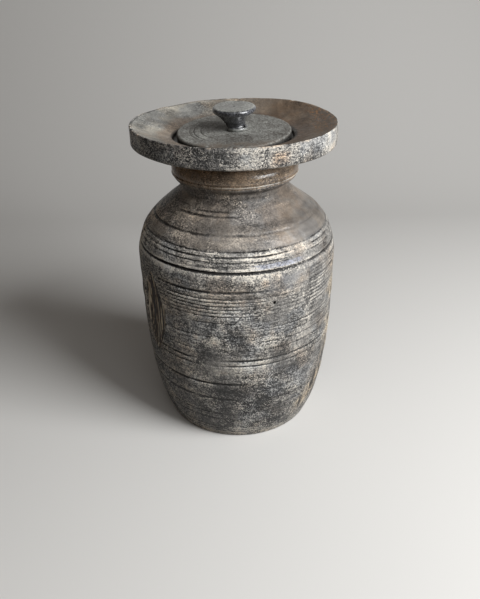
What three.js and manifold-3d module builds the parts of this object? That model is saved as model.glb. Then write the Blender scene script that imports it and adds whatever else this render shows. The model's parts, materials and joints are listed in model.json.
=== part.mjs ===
// A turned wooden pot with a wide dished rim, its loose lid and the lid's knob.
// Millimetres, +Z up. The origin is the middle of the foot's underside, and -Y is the front.
import * as THREE from 'three';
import { mergeVertices } from 'three/addons/utils/BufferGeometryUtils.js';
import Module from 'manifold-3d';

const wasm = await Module();
wasm.setup();

// Facets round each piece, the step between outline points, and the steps that gauge the wall inside it
const potFacets = 40;
const lidFacets = 40;
const knobFacets = 32;
const holeFacets = 10;
const scarFacets = 18;
const outlineStep = 16;
const wallSteps = 12;
const mergeDistance = 1e-4;

// The body's outline, from the foot up: each rise is the height above the station before it
const footRadius = 86;
const footEdge = 1.6;
const heelRise = 21;
const heelRadius = 94;
const lowerRise = 47;
const lowerRadius = 103.4;
const bellyRise = 63;
const bellyRadius = 108;
const upperRise = 74;
const upperRadius = 108.7;
const ridgeRise = 26;
const ridgeRadius = 102.6;
const shoulderRise = 16;
const shoulderRadius = 92;
const slopeRise = 16;
const slopeRadius = 72.5;
const neckRise = 13;
const neckRadius = 57.5;

// The cove at the neck, and the bead over it with a line cut just below its widest place
const coveHeight = 9.5;
const beadLip = 2.4;
const beadHeight = 22;
const beadRadius = 66.7;
const beadLineAngle = -7;
const beadLineSpread = 5;
const beadLineDepth = 1;

// The rim: the flare that carries it, its band, and the dish that leads down to the mouth
const flareHeight = 14.4;
const rimRadius = 105;
const rimHeight = 20.8;
const rimLowerRound = 3;
const rimUpperRound = 1.6;
const rimLip = 3.2;
const rimRoundStart = -60;
const dishDepth = 13.2;
const dishHollow = 2;

// The hollow inside, and the hollow under the foot
const wall = 12;
const neckWall = 9;
const floorThickness = 22;
const innerCorner = 16;
const footRecess = 2;
const footRing = 24;

// The seat cut round the mouth for the lid, which lies out of level
const seatTilt = THREE.MathUtils.degToRad(3.5);
const seatDepth = 17.8;
const seatRadius = 63.5;
const seatGap = 0.3;

// The lid: a disc with a plug under it
const lidClearance = 5;
const lidThickness = 8;
const lidEdgeRound = 2;
const plugClearance = 3;
const plugDepth = 10;
const plugTaper = 1.5;

// The knob, and the tenon that holds it in the lid
const knobRadius = 22;
const knobEdge = 4.2;
const knobHeight = 23;
const knobWaistRadius = 9.6;
const knobWaistHeight = 6;
const knobFootRadius = 12;
const knobFootHeight = 3;
const knobFlarePower = 1.35;
const tenonRadius = 7.5;
const tenonLength = 12;
const tenonGap = 0.3;

// Marks of age: a long hollow scar where a knot lay, and two beetle holes
const scarAngle = THREE.MathUtils.degToRad(-146);
const scarHeight = 155;
const scarHalfWidth = 27;
const scarHalfHeight = 50;
const scarDepth = 4.2;
const beetleRadius = 1.25;
const beetleDepth = 7;
const bodyHoleAngle = THREE.MathUtils.degToRad(-70);
const bodyHoleHeight = 186.5;
const knobHoleAngle = THREE.MathUtils.degToRad(-20);
const knobHoleHeight = 4.8;

// The band of fine scored lines over the belly, from its lowest line up
const scoreRise = 42.5;
const scoreCount = 6;
const scorePitch = 4;
const scoreDepth = 0.9;

// Heights above the foot that the rises add up to
const heelTop = heelRise;
const lowerTop = heelTop + lowerRise;
const bellyTop = lowerTop + bellyRise;
const upperTop = bellyTop + upperRise;
const ridgeTop = upperTop + ridgeRise;
const shoulderTop = ridgeTop + shoulderRise;
const slopeTop = shoulderTop + slopeRise;
const neckFoot = slopeTop + neckRise;
const beadFoot = neckFoot + coveHeight;
const beadTop = beadFoot + beadHeight;
const rimUnderside = beadTop + flareHeight;
const rimTop = rimUnderside + rimHeight;
const seatHeight = rimTop - seatDepth;

// Radii that follow from a neighbour and a clearance
const mouthRadius = neckRadius - neckWall;
const lidRadius = seatRadius - lidClearance;
const plugRadius = mouthRadius - plugClearance;
const tenonHoleRadius = tenonRadius + tenonGap;
const tenonHoleDepth = tenonLength + tenonGap;

const stations = [
  { height: 0, radius: footRadius },
  { height: heelTop, radius: heelRadius },
  { height: lowerTop, radius: lowerRadius },
  { height: bellyTop, radius: bellyRadius },
  { height: upperTop, radius: upperRadius },
  { height: ridgeTop, radius: ridgeRadius },
  { height: shoulderTop, radius: shoulderRadius },
  { height: slopeTop, radius: slopeRadius },
  { height: neckFoot, radius: neckRadius },
];

// Turned grooves, each a V that the tool left round the body
const grooves = [
  { height: 9, width: 3, depth: 1 },
  { height: lowerTop - 2, width: 6, depth: 0.9 },
  { height: lowerTop + 20, width: 5, depth: 1.4 },
  { height: lowerTop + 44.6, width: 3.5, depth: 1.5 },
  { height: lowerTop + 51.3, width: 4, depth: 1.6 },
  ...Array.from({ length: scoreCount }, (_, i) => (
    { height: bellyTop + scoreRise + i * scorePitch, width: scorePitch, depth: scoreDepth }
  )),
  { height: upperTop - 4, width: 4, depth: 1.5 },
  { height: upperTop + 15.6, width: 4, depth: 2.5 },
  { height: ridgeTop - 0.8, width: 3, depth: 0.9 },
  { height: ridgeTop + 3.8, width: 3.2, depth: 1.2 },
  { height: ridgeTop + 8.4, width: 3.4, depth: 1 },
  { height: shoulderTop + 4.4, width: 3.4, depth: 1.1 },
  { height: neckFoot - 12, width: 3.4, depth: 0.8 },
];

// Slope of the outline at a station: the harmonic mean of its two chords, level where they turn back
function stationSlope(i) {
  const chord = (low, high) => (high.radius - low.radius) / (high.height - low.height);
  if (i === 0) return chord(stations[0], stations[1]);
  if (i === stations.length - 1) return chord(stations[i - 1], stations[i]) / 2;
  const below = chord(stations[i - 1], stations[i]);
  const above = chord(stations[i], stations[i + 1]);
  return below * above > 0 ? (2 * below * above) / (below + above) : 0;
}

// Radius of the body's smooth outline at a height: a Hermite curve through the stations
function radiusAt(height) {
  const top = stations.length - 1;
  const above = stations.findIndex((station, i) => i > 0 && station.height >= height);
  const i = (above < 0 ? top : above) - 1;
  const low = stations[i];
  const high = stations[i + 1];
  const span = high.height - low.height;
  const t = THREE.MathUtils.clamp((height - low.height) / span, 0, 1);
  const lowShare = (1 + 2 * t) * (1 - t) ** 2;
  const lowSlope = t * (1 - t) ** 2 * span * stationSlope(i);
  const highSlope = t ** 2 * (t - 1) * span * stationSlope(i + 1);
  return lowShare * low.radius + (1 - lowShare) * high.radius + lowSlope + highSlope;
}

// A closed solid from a geometry: its vertices are shared, and triangles that shrank to a line go
function solidOf(geometry) {
  const bare = geometry.clone();
  bare.deleteAttribute('normal');
  bare.deleteAttribute('uv');
  const merged = mergeVertices(bare, mergeDistance);
  const index = merged.index.array;
  const corners = [];
  for (let i = 0; i < index.length; i += 3) {
    const [a, b, c] = index.slice(i, i + 3);
    if (a !== b && b !== c && c !== a) corners.push(a, b, c);
  }
  return new wasm.Manifold(new wasm.Mesh({
    numProp: 3,
    vertProperties: new Float32Array(merged.attributes.position.array),
    triVerts: new Uint32Array(corners),
  }));
}

function geometryOf(solid) {
  const mesh = solid.getMesh();
  const geometry = new THREE.BufferGeometry();
  geometry.setAttribute('position', new THREE.BufferAttribute(new Float32Array(mesh.vertProperties), 3));
  geometry.setIndex(new THREE.BufferAttribute(new Uint32Array(mesh.triVerts), 1));
  geometry.computeVertexNormals();
  return geometry;
}

// Geometry turned about Z from [radius, height] points that start and end on the axis
function turned(points, facets) {
  const outline = points.map(([radius, height]) => new THREE.Vector2(radius, height));
  return new THREE.LatheGeometry(outline, facets).rotateX(Math.PI / 2);
}

// Points of an elliptical arc in the outline's plane, between two angles in degrees
function arc([centreRadius, centreHeight], [across, up], from, to, steps) {
  return Array.from({ length: steps + 1 }, (_, i) => {
    const angle = THREE.MathUtils.degToRad(THREE.MathUtils.lerp(from, to, i / steps));
    return [centreRadius + across * Math.cos(angle), centreHeight + up * Math.sin(angle)];
  });
}

// Evenly spaced heights from one to another
function evenHeights(from, to) {
  const count = Math.round(Math.abs(to - from) / outlineStep);
  return Array.from({ length: count + 1 }, (_, i) => THREE.MathUtils.lerp(from, to, i / count));
}

// The body's outside: even steps, with three points at each groove
function outerWall() {
  const clear = evenHeights(footEdge, neckFoot)
    .filter((height) => grooves.every((groove) => Math.abs(height - groove.height) > groove.width))
    .map((height) => [radiusAt(height), height]);
  const cut = grooves.flatMap(({ height, width, depth }) => [
    [radiusAt(height - width / 2), height - width / 2],
    [radiusAt(height) - depth, height],
    [radiusAt(height + width / 2), height + width / 2],
  ]);
  return [...clear, ...cut].sort((a, b) => a[1] - b[1]);
}

// Radius of the hollow at a height: as wide as it can be with the wall's thickness kept all round
function innerRadiusAt(height) {
  const reaches = Array.from({ length: 2 * wallSteps + 1 }, (_, i) => {
    const rise = wall * (i / wallSteps - 1);
    return radiusAt(height + rise) - Math.sqrt(wall ** 2 - rise ** 2);
  });
  return Math.max(mouthRadius, Math.min(...reaches));
}

// The dish's hollow surface, from the rim's lip in to the seat
function dish() {
  const lipRadius = rimRadius - rimLip;
  const steps = 4;
  return Array.from({ length: steps + 1 }, (_, i) => {
    const t = i / steps;
    const fall = dishDepth * t + 4 * dishHollow * t * (1 - t);
    return [THREE.MathUtils.lerp(lipRadius, seatRadius, t), rimTop - fall];
  });
}

// Everything inside the seat's radius, down to the plane that the lid rests on
function seatCutter(place) {
  const cutTop = seatDepth + rimHeight;
  const outline = [[0, -seatGap], [seatRadius, -seatGap], [seatRadius, cutTop], [0, cutTop]];
  return solidOf(turned(outline, potFacets).applyMatrix4(place));
}

// The scar is the hollow left by a flat ellipsoid that is wrapped onto the body's surface
function scarCutter() {
  const blob = new THREE.SphereGeometry(1, scarFacets, scarFacets / 2).rotateX(Math.PI / 2);
  const points = blob.attributes.position;
  for (let i = 0; i < points.count; i += 1) {
    const height = scarHeight + scarHalfHeight * points.getZ(i);
    const radius = radiusAt(height) + scarDepth * points.getX(i);
    const angle = scarAngle + (scarHalfWidth * points.getY(i)) / radiusAt(height);
    points.setXYZ(i, radius * Math.cos(angle), radius * Math.sin(angle), height);
  }
  return solidOf(blob);
}

// A round hole that runs straight in towards the axis from a surface of the given radius
function beetleHole(angle, surfaceRadius, height) {
  const drill = new THREE.CylinderGeometry(beetleRadius, beetleRadius, 2 * beetleDepth, holeFacets);
  drill.rotateZ(Math.PI / 2).translate(surfaceRadius, 0, 0);
  const place = new THREE.Matrix4().makeRotationZ(angle).setPosition(0, 0, height);
  return solidOf(drill.applyMatrix4(place));
}

function makePot(lidPlace) {
  const cornerTop = floorThickness + innerCorner;
  const inner = evenHeights(neckFoot, cornerTop).map((height) => [innerRadiusAt(height), height]);
  const cornerCentre = innerRadiusAt(cornerTop) - innerCorner;
  const recessRadius = footRadius - footRing;
  const beadInner = neckRadius + beadLip;
  const beadCentre = [beadInner, beadFoot + beadHeight / 2];
  const beadReach = [beadRadius - beadInner, beadHeight / 2];
  const flareRadius = rimRadius - rimLowerRound;
  const lipInner = rimRadius - rimUpperRound;
  const outline = [
    [0, footRecess],
    [recessRadius - footRecess, footRecess],
    [recessRadius, 0],
    [footRadius - footEdge, 0],
    ...outerWall(),
    [neckRadius, beadFoot - beadLip],
    ...arc(beadCentre, beadReach, -90, beadLineAngle - beadLineSpread, 5),
    ...arc(beadCentre, [beadReach[0] - beadLineDepth, beadReach[1]], beadLineAngle, beadLineAngle, 1).slice(1),
    ...arc(beadCentre, beadReach, beadLineAngle + beadLineSpread, 90, 6),
    ...arc([flareRadius, beadTop], [flareRadius - beadInner, flareHeight], 180, 90, 6).slice(1),
    ...arc([flareRadius, rimUnderside + rimLowerRound], [rimLowerRound, rimLowerRound], rimRoundStart, 0, 2),
    ...arc([lipInner, rimTop - rimUpperRound], [rimUpperRound, rimUpperRound], 0, 90, 2),
    ...dish(),
    [mouthRadius, rimTop - dishDepth],
    ...inner,
    ...arc([cornerCentre, cornerTop], [innerCorner, innerCorner], 0, -90, 4).slice(1),
    [0, floorThickness],
  ];
  return solidOf(turned(outline, potFacets))
    .subtract(seatCutter(lidPlace))
    .subtract(scarCutter())
    .subtract(beetleHole(bodyHoleAngle, radiusAt(bodyHoleHeight), bodyHoleHeight));
}

// Height 0 is the lid's underside, where it rests on the seat
function makeLid() {
  const roundCentre = [lidRadius - lidEdgeRound, lidThickness - lidEdgeRound];
  const outline = [
    [0, -plugDepth],
    [plugRadius - plugTaper, -plugDepth],
    [plugRadius, 0],
    [lidRadius, 0],
    ...arc(roundCentre, [lidEdgeRound, lidEdgeRound], 0, 90, 3),
    [tenonHoleRadius, lidThickness],
    [tenonHoleRadius, lidThickness - tenonHoleDepth],
    [0, lidThickness - tenonHoleDepth],
  ];
  return solidOf(turned(outline, lidFacets));
}

// Height 0 is the underside of the knob's foot, just over the lid's top
function makeKnob() {
  const flareTop = knobHeight - knobEdge;
  const flareSteps = 5;
  const flare = Array.from({ length: flareSteps + 1 }, (_, i) => {
    const t = i / flareSteps;
    const radius = THREE.MathUtils.lerp(knobWaistRadius, knobRadius, t ** knobFlarePower);
    return [radius, THREE.MathUtils.lerp(knobWaistHeight, flareTop, t)];
  });
  const outline = [
    [0, -tenonLength],
    [tenonRadius, -tenonLength],
    [tenonRadius, 0],
    [knobFootRadius, 0],
    [knobFootRadius, knobFootHeight],
    [knobWaistRadius, (knobFootHeight + knobWaistHeight) / 2],
    ...flare,
    ...arc([knobRadius - knobEdge / 2, knobHeight - knobEdge / 2], [knobEdge / 2, knobEdge / 2], 0, 90, 2),
    [0, knobHeight],
  ];
  return solidOf(turned(outline, knobFacets))
    .subtract(beetleHole(knobHoleAngle, knobWaistRadius, knobHoleHeight));
}

function part(name, solid, color, roughness) {
  const material = new THREE.MeshStandardMaterial({ color, roughness, metalness: 0 });
  const mesh = new THREE.Mesh(geometryOf(solid), material);
  mesh.name = name;
  return mesh;
}

const lidGroup = new THREE.Group();
lidGroup.position.z = seatHeight + seatGap;
lidGroup.rotation.x = seatTilt;
lidGroup.updateMatrix();

const pot = part('pot', makePot(lidGroup.matrix), 0x5a5047, 0.75);
const lid = part('lid', makeLid(), 0x62625b, 0.7);
const knob = part('lid_knob', makeKnob(), 0x3a3836, 0.45);
knob.position.z = lidThickness + tenonGap;
lidGroup.add(lid, knob);

const object = new THREE.Group();
object.add(pot, lidGroup);
export default object;
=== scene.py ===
# %% [markdown]
# # A turned wooden pot with a dished rim, a loose lid and a knob
#
# The real pot is one block of wood, turned on a simple lathe: a tall body with bands of scored
# lines, a bead at the neck and a wide dished rim. A flat lid lies loose in the dish, and a small
# knob is set in the lid. Years of oil, smoke and handling have left it charcoal, brown and pale.
# The CAD frame comes first, because every new piece goes exactly where its CAD solid is.

# %% Load the frame
import json
from math import atan2, cos, degrees, exp, hypot, pi, radians, sin, sqrt

import bpy
import numpy as np
from mathutils import Matrix, Vector, noise

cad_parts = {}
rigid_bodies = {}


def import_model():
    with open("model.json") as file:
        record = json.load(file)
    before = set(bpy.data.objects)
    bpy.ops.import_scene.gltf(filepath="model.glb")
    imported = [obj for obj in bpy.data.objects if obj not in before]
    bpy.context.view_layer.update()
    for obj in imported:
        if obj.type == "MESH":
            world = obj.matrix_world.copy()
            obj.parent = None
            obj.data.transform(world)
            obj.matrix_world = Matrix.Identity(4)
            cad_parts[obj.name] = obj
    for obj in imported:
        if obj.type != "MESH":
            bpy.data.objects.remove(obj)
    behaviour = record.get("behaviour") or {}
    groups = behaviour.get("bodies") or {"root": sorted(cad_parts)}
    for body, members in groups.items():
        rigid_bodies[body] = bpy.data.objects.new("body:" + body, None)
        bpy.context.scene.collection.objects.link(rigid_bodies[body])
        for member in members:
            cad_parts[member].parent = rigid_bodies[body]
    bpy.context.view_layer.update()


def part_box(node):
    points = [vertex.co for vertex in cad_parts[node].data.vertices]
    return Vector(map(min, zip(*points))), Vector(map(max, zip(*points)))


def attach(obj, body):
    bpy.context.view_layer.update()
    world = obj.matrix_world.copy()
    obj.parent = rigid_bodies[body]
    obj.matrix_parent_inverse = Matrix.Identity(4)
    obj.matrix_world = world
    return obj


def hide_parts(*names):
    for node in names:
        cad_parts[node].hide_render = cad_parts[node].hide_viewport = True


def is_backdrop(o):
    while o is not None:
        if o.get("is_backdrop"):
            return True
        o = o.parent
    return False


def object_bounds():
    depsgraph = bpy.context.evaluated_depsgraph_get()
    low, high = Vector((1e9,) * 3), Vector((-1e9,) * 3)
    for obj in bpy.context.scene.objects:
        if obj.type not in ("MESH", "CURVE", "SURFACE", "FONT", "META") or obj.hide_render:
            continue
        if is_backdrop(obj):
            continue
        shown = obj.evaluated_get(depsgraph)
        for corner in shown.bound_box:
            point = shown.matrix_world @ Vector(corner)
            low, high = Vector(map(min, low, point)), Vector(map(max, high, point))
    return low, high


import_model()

MM = 0.001

# %% [markdown]
# ## Camera, light and floor
#
# The camera stands where the photographer stood, looking down 29 degrees. One big soft lamp at the
# right shades the pot from right to left without a hard edge, and a weak lamp in front and a dim,
# warm world fill the shadows. The floor runs up into a backdrop in one sweep, so that no horizon
# crosses behind the pot.

# %% Camera
CAMERA_PLACE = (0.00264, -0.6201, 0.4805)
CAMERA_PITCH = radians(29.22)
CAMERA_ROLL = -0.0190
CAMERA_LENS = 36.06

camera_data = bpy.data.cameras.new("camera")
camera_data.lens = CAMERA_LENS
camera = bpy.data.objects.new("camera", camera_data)
camera.location = CAMERA_PLACE
turn = Matrix.Rotation(pi / 2 - CAMERA_PITCH, 3, "X") @ Matrix.Rotation(CAMERA_ROLL, 3, "Z")
camera.rotation_euler = turn.to_euler()
bpy.context.scene.collection.objects.link(camera)
bpy.context.scene.camera = camera
bpy.context.scene.view_settings.view_transform = "Standard"
print("camera at", CAMERA_PLACE)


# %% Lamps and world
def lamp(name, azimuth, elevation, distance, size, power, color):
    """An area lamp that faces the pot's middle, at an angle to the right of the front."""
    data = bpy.data.lights.new(name, "AREA")
    data.shape = "RECTANGLE"
    data.size, data.size_y = size
    data.energy = power
    data.color = color
    holder = bpy.data.objects.new(name, data)
    aim = Vector((0, 0, 0.2))
    across = Vector((sin(azimuth), -cos(azimuth), 0)) * cos(elevation)
    holder.location = aim + distance * (across + Vector((0, 0, sin(elevation))))
    holder.rotation_euler = (aim - holder.location).to_track_quat("-Z", "Y").to_euler()
    bpy.context.scene.collection.objects.link(holder)


lamp("window", radians(56), radians(33), 1.5, (0.8, 1.0), 32.5, (0.975, 0.99, 1.0))
lamp("front_fill", radians(10), radians(50), 1.7, (1.2, 1.2), 4, (0.98, 0.99, 1.0))

world = bpy.data.worlds.new("world")
world.use_nodes = True
world.node_tree.nodes["Background"].inputs["Color"].default_value = (1.0, 0.87, 0.74, 1)
world.node_tree.nodes["Background"].inputs["Strength"].default_value = 0.07
bpy.context.scene.world = world


# %% Helpers for edit mode
def enter(mode):
    """Go into OBJECT or EDIT mode."""
    bpy.ops.object.mode_set(mode=mode)


def deselect():
    """Leave nothing selected, so that an operator acts only on what is selected next."""
    if bpy.context.object and bpy.context.object.mode != "OBJECT":
        enter("OBJECT")
    bpy.ops.object.select_all(action="DESELECT")


def pick(piece, wanted, kind="VERT"):
    """Go into edit mode with only those vertices or faces selected whose middle is wanted."""
    deselect()
    piece.select_set(True)
    bpy.context.view_layer.objects.active = piece
    enter("EDIT")
    bpy.ops.mesh.select_mode(type=kind)
    bpy.ops.mesh.select_all(action="DESELECT")
    enter("OBJECT")
    if kind == "VERT":
        chosen = [v for v in piece.data.vertices if wanted(v.co)]
    else:
        chosen = [f for f in piece.data.polygons if wanted(f.center)]
    for part in chosen:
        part.select = True
    enter("EDIT")
    return len(chosen)


# %% Floor and backdrop
SWEEP_BACK, SWEEP_HEIGHT, SWEEP_BEND = 1.3, 1.8, 0.7

deselect()
bpy.ops.mesh.primitive_plane_add(size=2 * SWEEP_BACK, location=(0, 0, 0))
floor = bpy.context.object
floor.name = "floor"
pick(floor, lambda place: place.y > SWEEP_BACK - MM)
bpy.ops.mesh.extrude_region_move(TRANSFORM_OT_translate={"value": (0, 0, SWEEP_HEIGHT)})
pick(floor, lambda place: place.y > SWEEP_BACK - MM and place.z < MM)
bpy.ops.mesh.bevel(offset=SWEEP_BEND, segments=24, affect="EDGES")
enter("OBJECT")
bpy.ops.object.shade_smooth()
print("floor faces:", len(floor.data.polygons))

# %% Floor paint
# Pale where the camera or a mirror sees it, and dim where it only bounces light onto the pot.
floor_paint = bpy.data.materials.new("floor_paint")
floor_paint.use_nodes = True
nodes, links = floor_paint.node_tree.nodes, floor_paint.node_tree.links
seen = nodes["Principled BSDF"]
seen.inputs["Base Color"].default_value = (0.72, 0.705, 0.68, 1)
seen.inputs["Roughness"].default_value = 0.85
bounced = nodes.new("ShaderNodeBsdfDiffuse")
bounced.inputs["Color"].default_value = (0.12, 0.11, 0.1, 1)
path = nodes.new("ShaderNodeLightPath")
either = path.outputs["Is Camera Ray"]
for ray in ("Is Glossy Ray", "Is Transmission Ray"):
    greater = nodes.new("ShaderNodeMath")
    greater.operation = "MAXIMUM"
    links.new(either, greater.inputs[0])
    links.new(path.outputs[ray], greater.inputs[1])
    either = greater.outputs[0]
chosen_paint = nodes.new("ShaderNodeMixShader")
links.new(either, chosen_paint.inputs["Fac"])
links.new(bounced.outputs[0], chosen_paint.inputs[1])
links.new(seen.outputs[0], chosen_paint.inputs[2])
links.new(chosen_paint.outputs[0], nodes["Material Output"].inputs["Surface"])
floor.data.materials.append(floor_paint)
floor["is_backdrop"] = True

# %% [markdown]
# ## Turning: one outline, spun
#
# Everything on the pot was turned, so each piece starts as half of its cross-section. One vertex is
# extruded from point to point along the outline, as a turner would cut along a template, and Spin
# sweeps that line round the axis. A revolved curve with the Screw modifier would do as well, but the
# extruded line keeps each scored groove as a ring of real vertices, which later steps can wear down.


# %% A lathe made of operators
def spin_outline(name, outline, steps):
    """A closed turned piece from (radius, height) points in mm that begin and end on the axis."""
    deselect()
    bpy.ops.mesh.primitive_plane_add(size=MM, location=(0, 0, outline[0][1] * MM))
    piece = bpy.context.object
    piece.name = name
    bpy.ops.object.transform_apply(location=True, rotation=True, scale=True)
    enter("EDIT")
    bpy.ops.mesh.select_mode(type="VERT")
    bpy.ops.mesh.select_all(action="SELECT")
    bpy.ops.mesh.merge(type="CENTER")
    for (radius, height), (next_radius, next_height) in zip(outline, outline[1:]):
        step = ((next_radius - radius) * MM, 0, (next_height - height) * MM)
        bpy.ops.mesh.extrude_vertices_move(TRANSFORM_OT_translate={"value": step})
    bpy.ops.mesh.select_all(action="SELECT")
    bpy.ops.mesh.spin(steps=steps, angle=2 * pi, center=(0, 0, 0), axis=(0, 0, 1))
    bpy.ops.mesh.select_all(action="SELECT")
    bpy.ops.mesh.remove_doubles(threshold=0.004 * MM)
    bpy.ops.mesh.normals_make_consistent(inside=False)
    enter("OBJECT")
    print(name, "spun:", len(outline), "points,", len(piece.data.polygons), "faces")
    return piece


def arc(centre, reach, start, end, steps):
    """Points along an ellipse's arc in the outline, angles in degrees."""
    angles = [radians(start + (end - start) * i / steps) for i in range(steps + 1)]
    return [(centre[0] + reach[0] * cos(a), centre[1] + reach[1] * sin(a)) for a in angles]


def between(start, end, step):
    """Even steps from start to end, both included."""
    count = max(1, round(abs(end - start) / step))
    return [start + (end - start) * i / count for i in range(count + 1)]


def smooth_step(value, low, high):
    """0 below low, 1 above high, and a soft slope between."""
    t = min(1, max(0, (value - low) / (high - low)))
    return t * t * (3 - 2 * t)


# %% [markdown]
# ## The pot's outline
#
# The body widens from the foot to the belly, turns in over a scored ridge to a sloping shoulder, and
# closes to a narrow neck. Its smooth line is a curve through a few measured stations, the same as in
# the CAD. The scored lines are cut into that line: each is a small V or a rounded hollow.

# %% Body curve
STATIONS = [(0, 86), (21, 94), (68, 103.4), (131, 108), (205, 108.7),
            (231, 102.6), (247, 92), (263, 72.5), (276, 57.5)]
NECK_HEIGHT, NECK_RADIUS = STATIONS[-1]


def station_slope(i):
    """The outline's slope at a station: the harmonic mean of the two chords beside it."""
    chords = [(b[1] - a[1]) / (b[0] - a[0]) for a, b in zip(STATIONS, STATIONS[1:])]
    if i == 0:
        return chords[0]
    if i == len(chords):
        return chords[-1] / 2
    low, high = chords[i - 1], chords[i]
    return 2 * low * high / (low + high) if low * high > 0 else 0


SLOPES = [station_slope(i) for i in range(len(STATIONS))]


def body_radius(height):
    """Radius of the smooth body at a height, in mm."""
    i = max(0, min(len(STATIONS) - 2, sum(height > station[0] for station in STATIONS) - 1))
    (low, low_radius), (high, high_radius) = STATIONS[i], STATIONS[i + 1]
    span = high - low
    t = min(1, max(0, (height - low) / span))
    share = (1 + 2 * t) * (1 - t) ** 2
    bend = t * (1 - t) ** 2 * span * SLOPES[i] + t * t * (t - 1) * span * SLOPES[i + 1]
    return share * low_radius + (1 - share) * high_radius + bend


print("belly radius:", round(body_radius(150), 1), "mm")

# %% Scored lines
# Height, width and depth in mm. A line that is worn away elsewhere also has the two angles between
# which it shows, from the front towards the right.
DEEP_LINE = 220.6
SCORES = [
    (4.5, 1.6, 0.6), (9, 2.4, 1.0), (13.5, 1.6, 0.7), (18, 1.6, 0.6), (33, 4.0, 0.5, -80, 10),
    (42, 3.0, 0.7, -85, -8), (51, 3.0, 0.6, 25, 120), (66, 5.0, 0.8, -90, -2),
    (78, 4.0, 0.5, 20, 110), (87.5, 4.0, 1.5, -100, 2), (101, 4.0, 0.5, 30, 150), (112.6, 3.0, 1.5),
    (119.3, 3.4, 1.7), (132, 2.4, 0.4, -60, 60), (141, 2.4, 0.5, 10, 160), (149, 2.4, 0.4),
    (158, 2.4, 0.5, 0, 140), (166, 2.0, 0.5, -90, 50),
    *[(173.5 + 4 * i, 1.8, 0.9) for i in range(5)], (193.5, 1.8, 0.8), (197.2, 1.6, 0.7, 20, 180),
    (201, 3.6, 0.7), (201, 3.6, 1.5, -110, 10), (205.5, 1.6, 0.6, 28, 150),
    (209, 1.6, 0.6, 28, 150), (212.5, 1.6, 0.5, 28, 120), (DEEP_LINE, 4.0, 1.5),
    (DEEP_LINE, 4.0, 2.6, -120, 14), (230.2, 1.8, 0.9), (234.8, 2.2, 1.3), (239.4, 1.9, 1.0),
    (251.4, 3.0, 1.0), (264.4, 2.4, 1.0, -52, 4), (267.9, 2.0, 0.9, -34, -2),
]


def score_depth(height, angle=None):
    """How deep the scored lines go at a height, in mm, at one angle or at full depth."""
    deepest = 0
    for middle, width, depth, *ends in SCORES:
        off = abs(height - middle) / (width / 2)
        if off >= 1:
            continue
        fade = 1
        if angle is not None and ends:
            inside = min(angle - ends[0], ends[1] - angle)
            fade = min(1, max(0, inside / 10 + 0.5))
        deepest = max(deepest, depth * (1 - off ** 1.5) * fade)
    return deepest


def body_outline():
    """Heights close together at the scored lines and wide apart elsewhere."""
    heights = set(round(h, 2) for h in between(1.6, NECK_HEIGHT, 3.2))
    for middle, width, *_ in SCORES:
        near = width / 2 + 0.6
        heights = {h for h in heights if abs(h - middle) > near}
    for middle, width, *_ in SCORES:
        for share in (-0.5, -0.28, 0, 0.28, 0.5):
            heights.add(round(middle + share * width, 2))
    return [(body_radius(h) - score_depth(h), h) for h in sorted(heights)]


print("scored lines:", len(SCORES), "- rings on the body:", len(body_outline()))

# %% Sizes of the foot, neck, bead, rim and hollow, in mm
FOOT_EDGE, FOOT_RECESS, FOOT_RING = 1.6, 2.0, 24
BEAD_FOOT, BEAD_HEIGHT, BEAD_RADIUS, BEAD_LIP = 285.5, 22, 66.7, 2.4
BEAD_LINE_ANGLE, BEAD_LINE_SPREAD, BEAD_LINE_DEPTH = -13, 5, 1.0
RIM_UNDERSIDE, RIM_TOP, RIM_RADIUS = 321.9, 342.7, 105
RIM_LOWER_ROUND, RIM_UPPER_ROUND, RIM_LIP = 3, 1.1, 1.6
SEAT_CROWD = 3.4
DISH_DEPTH, DISH_HOLLOW = 13.2, 2
SEAT_HEIGHT, SEAT_RADIUS, SEAT_TILT = 324.9, 63.5, radians(3.5)
SEAT_LEAN, SEAT_LEAN_FROM = radians(1.1), -30
SEAT_EASE = 2.4
MOUTH_RADIUS, WALL, FLOOR_THICKNESS, CORNER = 48.5, 12, 22, 16
SEAT_CUT = SEAT_HEIGHT - 0.3
MOUTH_TOP = 316
RIDGES_MIDDLE = 233
POT_STEPS = 200


def hollow_radius(height):
    """Radius inside the wall: as wide as it can be with the wall's thickness kept all round."""
    return max(MOUTH_RADIUS, min(body_radius(height + off) - sqrt(WALL ** 2 - off ** 2)
                                 for off in between(-WALL, WALL, 1)))


bead_inner = NECK_RADIUS + BEAD_LIP
bead_top = BEAD_FOOT + BEAD_HEIGHT
flare_radius = RIM_RADIUS - RIM_LOWER_ROUND
lip_radius = RIM_RADIUS - RIM_LIP
ring_radius = STATIONS[0][1] - FOOT_RING
corner_height = FLOOR_THICKNESS + CORNER
corner_radius = hollow_radius(corner_height) - CORNER
print("hollow's floor radius:", round(corner_radius, 1), "mm")

# %% Foot and bead
foot = [(0, FOOT_RECESS), (30, FOOT_RECESS), (ring_radius - 2, FOOT_RECESS), (ring_radius, 0.4),
        (ring_radius + 1, 0), (70, 0), (78, 0)]
foot += arc((STATIONS[0][1] - FOOT_EDGE, FOOT_EDGE), (FOOT_EDGE, FOOT_EDGE), -90, -20, 3)
bead = [(NECK_RADIUS + out, h) for out, h in ((0, 278), (-0.2, 280.5), (0, 282.4), (0.2, 283.3))]
for angle in between(-90, -40, 5) + between(-38, 0, 2) + between(4, 90, 5):
    line = BEAD_LINE_DEPTH * max(0, 1 - abs(angle - BEAD_LINE_ANGLE) / BEAD_LINE_SPREAD)
    lip = 0.8 * exp(-((angle - BEAD_LINE_ANGLE + 9) / 4) ** 2)
    reach = BEAD_RADIUS - bead_inner - line + lip
    turned = radians(angle)
    bead.append((bead_inner + reach * cos(turned), BEAD_FOOT + BEAD_HEIGHT / 2 * (1 + sin(turned))))
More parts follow.
